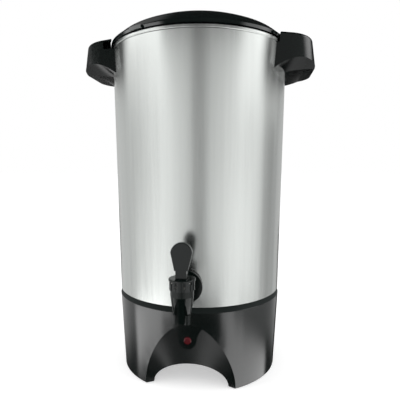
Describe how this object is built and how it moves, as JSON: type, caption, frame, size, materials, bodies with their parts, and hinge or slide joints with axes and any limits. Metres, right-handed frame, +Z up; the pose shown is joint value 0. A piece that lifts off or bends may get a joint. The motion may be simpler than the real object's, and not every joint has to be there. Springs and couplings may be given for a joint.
{
  "type": "coffee urn",
  "caption": "Percolating coffee urn with a tapered steel tank, black base and side handles, domed twist-off lid and a self-closing lever tap.",
  "frame": {"origin": "centre of the urn in the plane its rubber feet stand on", "axes": "+Z up, tap at the front towards -Y, handles at -X and +X"},
  "size_m": [0.2602, 0.2372, 0.407],
  "materials": {
    "steel": "brushed upright, satin",
    "dark_plastic": "fine texture",
    "gloss_plastic": "gloss",
    "tap_plastic": "half gloss",
    "lens_red": "clear red",
    "lamp_glass": "clear",
    "rubber": "matte",
    "silicone": "matte",
    "aluminium": "satin",
    "plated_steel": "zinc plated",
    "brass": "plain",
    "cover_steel": "zinc coated sheet",
    "element_steel": "heat darkened",
    "lead_insulation": "woven sleeve"
  },
  "bodies": {
    "urn": {"tank": "steel", "base_skirt": "dark_plastic", "bottom_cover": "cover_steel", "rubber_feet": "rubber", "base_studs": "plated_steel", "base_nuts": "plated_steel", "heating_well": "steel", "well_gasket": "silicone", "well_nut": "brass", "heater_plate": "aluminium", "heater_clamp": "cover_steel", "clamp_screws": "plated_steel", "boil_element": "element_steel", "keep_warm_element": "element_steel", "thermostat": "dark_plastic", "thermal_fuse": "plated_steel", "lamp_lens": "lens_red", "indicator_lamp": "lamp_glass", "lens_clip": "plated_steel", "power_inlet": "dark_plastic", "inlet_pins": "plated_steel", "inlet_screws": "plated_steel", "lead_live": "lead_insulation", "lead_heater": "lead_insulation", "lead_neutral": "lead_insulation", "handle_left": "dark_plastic", "handle_right": "dark_plastic", "handle_screws": "plated_steel", "tap_body": "tap_plastic", "tap_gasket": "rubber", "tap_inner_gasket": "silicone", "tap_nut": "tap_plastic", "bonnet_seal": "silicone", "tap_bonnet": "tap_plastic", "lever_pivot_pin": "plated_steel"},
    "lever": {"tap_lever": "tap_plastic", "valve_link_pin": "plated_steel"},
    "valve": {"valve_rod": "tap_plastic", "seat_cup": "silicone"},
    "pump": {"pump_stem": "aluminium", "pump_foot": "aluminium"},
    "washer": {"pump_washer": "aluminium"},
    "coffee_basket": {"basket": "aluminium"},
    "basket_cover": {"spreader": "aluminium"},
    "lid_grip": {"lid_knob": "gloss_plastic", "knob_screw": "plated_steel"},
    "lid_shell": {"lid": "gloss_plastic"}
  },
  "joints": [
    {"name": "tap_lever_tilt", "type": "hinge", "parent": "urn", "child": "lever", "pos_m": [0, -0.13, 0.126], "axis": [1, 0, 0], "range_deg": [0, 45], "stiffness_Nm_per_rad": 0.2, "springref_deg": -5.73},
    {"name": "tap_valve_lift", "type": "slide", "parent": "urn", "child": "valve", "axis": [0, 0, 1], "range_m": [0, 0.00496]},
    {"name": "pump_lift", "type": "slide", "parent": "urn", "child": "pump", "axis": [0, 0, 1], "range_m": [0, 0.3]},
    {"name": "pump_washer_lift", "type": "slide", "parent": "pump", "child": "washer", "axis": [0, 0, 1], "range_m": [0, 0.003]},
    {"name": "basket_lift", "type": "slide", "parent": "pump", "child": "coffee_basket", "axis": [0, 0, 1], "range_m": [0, 0.11]},
    {"name": "basket_cover_lift", "type": "slide", "parent": "coffee_basket", "child": "basket_cover", "axis": [0, 0, 1], "range_m": [0, 0.035]},
    {"name": "lid_lift", "type": "slide", "parent": "basket_cover", "child": "lid_grip", "axis": [0, 0, 1], "range_m": [0, 0.12]},
    {"name": "lid_twist", "type": "hinge", "parent": "lid_grip", "child": "lid_shell", "pos_m": [0, 0, 0.38], "axis": [0, 0, -1], "range_deg": [0, 48.5]}
  ],
  "couplings": [
    {"joint": "tap_valve_lift", "follows": "tap_lever_tilt", "m_per_rad": 0.0063}
  ]
}
